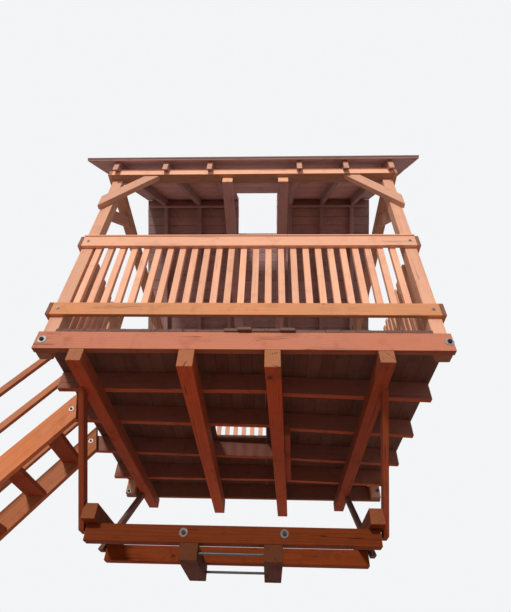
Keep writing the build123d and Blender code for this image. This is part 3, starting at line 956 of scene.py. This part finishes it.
class TREEHOUSE_OT_railings(bpy.types.Operator):
    """Dresses the rails, their caps and the balusters"""

    bl_idname = "tree_house.railings"
    bl_label = "Railings"

    def execute(self, context):
        rails = ("front_top_rail", "front_lower_rail", "rear_top_rail", "rear_lower_rail")
        side_rails = ("right_top_rail", "right_lower_rail", "left_top_rails", "left_lower_rails")
        balusters = ("front_balusters", "rear_balusters")
        side_balusters = ("left_front_balusters", "left_rear_balusters", "right_balusters")
        ease_nodes(rails + side_rails + ("rail_caps", "newel_posts"), RAIL_EASE, RAIL_TONE_RANGE)
        ease_nodes(balusters + side_balusters, BALUSTER_EASE, BALUSTER_TONE_RANGE)
        return {"FINISHED"}


class TREEHOUSE_OT_stair(bpy.types.Operator):
    """Dresses the stringers, treads, posts and handrails of the stair"""

    bl_idname = "tree_house.stair"
    bl_label = "Stair"

    def execute(self, context):
        ease_nodes(("stringer_front", "stringer_rear", "treads", "stair_posts", "handrails"))
        return {"FINISHED"}


class TREEHOUSE_OT_fasteners(bpy.types.Operator):
    """Sets the bolts and washers on the beams, rails and stringers"""

    bl_idname = "tree_house.fasteners"
    bl_label = "Bolts and Washers"

    # How dark some washers are made; on the collar, in the shade under the house, this is painted shade
    washer_age_and_painted_shade = {"collar_bolts": 0.75}

    # How far bolts stand in from the deck beams' left and right ends and from the posts' outer
    # faces, and how far the left rear one is under the others, in metres
    front_beam_insets = (0.048, 0.029)
    rear_beam_insets = (0.044, 0.035)
    post_inset = 0.049
    rear_drop = 0.05

    # The collar's bolts across and up, and the stair's in from the stringer's end and up, in metres
    collar_places = ((-0.341, 0.007), (0.371, 0.012))
    stair_places = {"stringer_front": (0.06, 0.891), "stringer_rear": (0.071, 0.892)}

    # How wide the rear beam's and the stair's washers and the least nut are beside the large ones
    rear_share = 0.8
    stair_share = 0.7
    least_nut = 0.6

    # How wide a part's front is beside its back, and how wide and high the bolt's end is beside the nut
    narrowing = 0.96
    bolt_share = 0.5
    bolt_reach = 0.35

    # Sides of the washer, the nut and the bolt's end
    washer_sides = 28
    nut_sides = 6
    bolt_sides = 14

    def execute(self, context):
        sizes = context.scene.tree_house.fasteners
        places = self.bolt_places(sizes.washer_radius, sizes.small_radius)
        for name, bolts in places.items():
            mesh = bmesh.new()
            mesh.faces.layers.float.new("aged")
            for place, radius in bolts:
                self.bolt(mesh, place, radius, sizes, self.washer_age_and_painted_shade.get(name, 0.0))
            finish_piece(mesh, name, "zinc_steel")
        return {"FINISHED"}

    def bolt_places(self, large, small):
        """Lists the place and the washer's radius of each bolt, by the piece that it belongs to."""
        collar_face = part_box("collar_beam_front")[0].y
        places = {"collar_bolts": [((x, collar_face, z), large) for x, z in self.collar_places]}

        low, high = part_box("deck_beam_front")
        rear_low, rear_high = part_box("deck_beam_rear")
        middle = (low.z + high.z) / 2
        rear_post_face = min(place for place in corner_places("corner_posts", 1) if place > 0)
        left, right = self.front_beam_insets
        rear_left, rear_right = self.rear_beam_insets
        rear = large * self.rear_share
        places["deck_beam_bolts"] = [
            ((low.x + left, low.y, middle), large),
            ((high.x - right, low.y, middle), large),
            ((rear_low.x + rear_left, rear_post_face, middle - self.rear_drop), rear),
            ((rear_high.x - rear_right, rear_post_face, middle), rear),
        ]

        low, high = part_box("corner_posts")
        places["rail_bolts"] = []
        for x in (low.x + self.post_inset, high.x - self.post_inset):
            for rail in ("front_top_rail", "front_lower_rail"):
                rail_low, rail_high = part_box(rail)
                middle = (rail_low.z + rail_high.z) / 2
                places["rail_bolts"].append(((x, rail_low.y, middle), small))

        places["stair_bolts"] = []
        for stringer, (inset, z) in self.stair_places.items():
            low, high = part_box(stringer)
            places["stair_bolts"].append(((high.x - inset, low.y, z), large * self.stair_share))
        return places

    def bolt(self, mesh, place, radius, sizes, washer_age_and_painted_shade):
        """Adds a washer, a six-sided nut and the bolt's round end, facing the front."""
        aged = mesh.faces.layers.float["aged"]
        nut_age = 1.0 if radius > sizes.small_radius else 0.0
        grow = radius / sizes.washer_radius
        nut = sizes.nut_radius * max(grow, self.least_nut)
        washer_face = sizes.washer_thickness
        nut_face = washer_face + sizes.nut_height * grow
        bolt_face = nut_face + sizes.nut_height * grow * self.bolt_reach
        stack = (
            (radius, 0.0, washer_face, self.washer_sides, washer_age_and_painted_shade),
            (nut, washer_face, nut_face, self.nut_sides, nut_age),
            (nut * self.bolt_share, nut_face, bolt_face, self.bolt_sides, nut_age),
        )
        turn = Matrix.Rotation(math.radians(90), 4, "X")
        for size, base, top, sides, age in stack:
            front = size * self.narrowing
            made = bmesh.ops.create_cone(
                mesh, cap_ends=True, segments=sides, radius1=size, radius2=front, depth=top - base
            )
            shift = Matrix.Translation(Vector(place) + Vector((0, -(base + top) / 2, 0)))
            bmesh.ops.transform(mesh, matrix=shift @ turn, verts=made["verts"])
            for face in {face for vertex in made["verts"] for face in vertex.link_faces}:
                face[aged] = age


class TREEHOUSE_OT_stage(bpy.types.Operator):
    """Sets the floor, the lights, the background and the camera"""

    bl_idname = "tree_house.stage"
    bl_label = "Stage"

    def execute(self, context):
        settings = context.scene.tree_house.stage
        self.floor(settings)
        self.lights(settings)
        self.background(settings)
        self.camera()
        context.scene.view_settings.view_transform = "Standard"
        return {"FINISHED"}

    def floor(self, settings):
        """A plain round floor that looks pale and gives back little light."""
        mesh = bmesh.new()
        bmesh.ops.create_circle(mesh, cap_ends=True, segments=FLOOR_SIDES, radius=settings.floor_radius)
        bmesh.ops.translate(mesh, vec=(0, 0, settings.floor_height), verts=mesh.verts)
        floor = object_of_mesh(mesh, "floor")
        material = bpy.data.materials.new("floor_paint")
        material.use_nodes = True
        w = Wiring(material.node_tree)
        shader = w.tree.nodes["Principled BSDF"]
        rays = w.new("ShaderNodeLightPath")
        seen = w.math("MAXIMUM", rays.outputs["Is Camera Ray"], rays.outputs["Is Glossy Ray"])
        paint = w.mix(seen, (*settings.bounce, 1.0), (*settings.floor, 1.0))
        w.put(shader.inputs["Base Color"], paint)
        shader.inputs["Roughness"].default_value = FLOOR_ROUGHNESS
        floor.data.materials.append(material)

    def lights(self, settings):
        """A soft sun from in front and a little to the left, and a warm fill under the house."""
        data = bpy.data.lights.new("sun", "SUN")
        data.energy = settings.sun
        data.color = settings.sun_colour
        data.angle = SUN_SPREAD
        sun = new_object("sun", data)
        sun.rotation_euler = Vector(SUN_RAY).to_track_quat("-Z", "Y").to_euler()
        data = bpy.data.lights.new("fill", "AREA")
        data.energy = settings.fill
        data.color = settings.fill_colour
        data.size = FILL_SIZE
        fill = new_object("fill", data)
        fill.rotation_euler = (math.pi, 0, 0)
        fill.location = (0, FILL_Y, settings.floor_height + FILL_LIFT)
        fill.visible_camera = False
        fill.visible_glossy = False

    def background(self, settings):
        """Even light from all round, and a pale background."""
        world = bpy.data.worlds.new("studio")
        bpy.context.scene.world = world
        world.use_nodes = True
        world.node_tree.nodes.clear()
        w = Wiring(world.node_tree)
        rays = w.new("ShaderNodeLightPath")
        lit = w.new("ShaderNodeBackground")
        lit.inputs["Color"].default_value = (*settings.sky_colour, 1.0)
        lit.inputs["Strength"].default_value = settings.sky
        seen = w.new("ShaderNodeBackground")
        seen.inputs["Color"].default_value = (*settings.background, 1.0)
        seen.inputs["Strength"].default_value = 1.0
        choose = w.new("ShaderNodeMixShader")
        choices = (rays.outputs["Is Camera Ray"], lit.outputs[0], seen.outputs[0])
        for socket, value in zip(choose.inputs, choices):
            w.put(socket, value)
        output = w.new("ShaderNodeOutputWorld")
        w.put(output.inputs["Surface"], choose.outputs[0])

    def camera(self):
        """The camera at the photograph's place and angle."""
        data = bpy.data.cameras.new("camera")
        data.lens = CAMERA_LENS
        data.sensor_width = CAMERA_SENSOR
        data.clip_end = CAMERA_REACH
        camera = new_object("camera", data)
        axes = [Vector(CAMERA_RIGHT), Vector(CAMERA_UP), -Vector(CAMERA_AHEAD)]
        turn = Matrix([axis[:] for axis in axes]).transposed().to_4x4()
        camera.matrix_world = Matrix.Translation(CAMERA_PLACE) @ turn
        bpy.context.scene.camera = camera


class TREEHOUSE_PT_panel(bpy.types.Panel):
    """Lists the tree house's pieces and settings"""

    bl_idname = "TREEHOUSE_PT_panel"
    bl_label = "Tree House"
    bl_space_type = "VIEW_3D"
    bl_region_type = "UI"
    bl_category = "Tree House"

    def draw(self, context):
        for operator in OPERATORS:
            self.layout.operator(operator.bl_idname)
        settings = context.scene.tree_house
        for group in (settings.colours, settings.boards, settings.fasteners, settings.stage):
            box = self.layout.box()
            for name in group.bl_rna.properties.keys():
                if name not in ("rna_type", "name"):
                    box.prop(group, name)


OPERATORS = (
    TREEHOUSE_OT_collar,
    TREEHOUSE_OT_bearers,
    TREEHOUSE_OT_deck,
    TREEHOUSE_OT_house_frame,
    TREEHOUSE_OT_roof,
    TREEHOUSE_OT_railings,
    TREEHOUSE_OT_stair,
    TREEHOUSE_OT_fasteners,
    TREEHOUSE_OT_stage,
)
CLASSES = (
    TimberColours,
    BoardSizes,
    FastenerSizes,
    StageSettings,
    TreeHouseSettings,
    *OPERATORS,
    TREEHOUSE_PT_panel,
)


def register():
    """Registers the classes and hangs the settings on the scene."""
    for cls in CLASSES:
        bpy.utils.register_class(cls)
    bpy.types.Scene.tree_house = PointerProperty(type=TreeHouseSettings)


def unregister():
    """Takes the settings and the classes away again."""
    del bpy.types.Scene.tree_house
    for cls in reversed(CLASSES):
        bpy.utils.unregister_class(cls)


def main():
    """Registers the add-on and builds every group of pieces."""
    register()
    make_materials(bpy.context.scene.tree_house.colours)
    bpy.ops.tree_house.collar()
    bpy.ops.tree_house.bearers()
    bpy.ops.tree_house.deck()
    bpy.ops.tree_house.house_frame()
    bpy.ops.tree_house.roof()
    bpy.ops.tree_house.railings()
    bpy.ops.tree_house.stair()
    bpy.ops.tree_house.fasteners()
    bpy.ops.tree_house.stage()


if __name__ == "__main__":
    main()
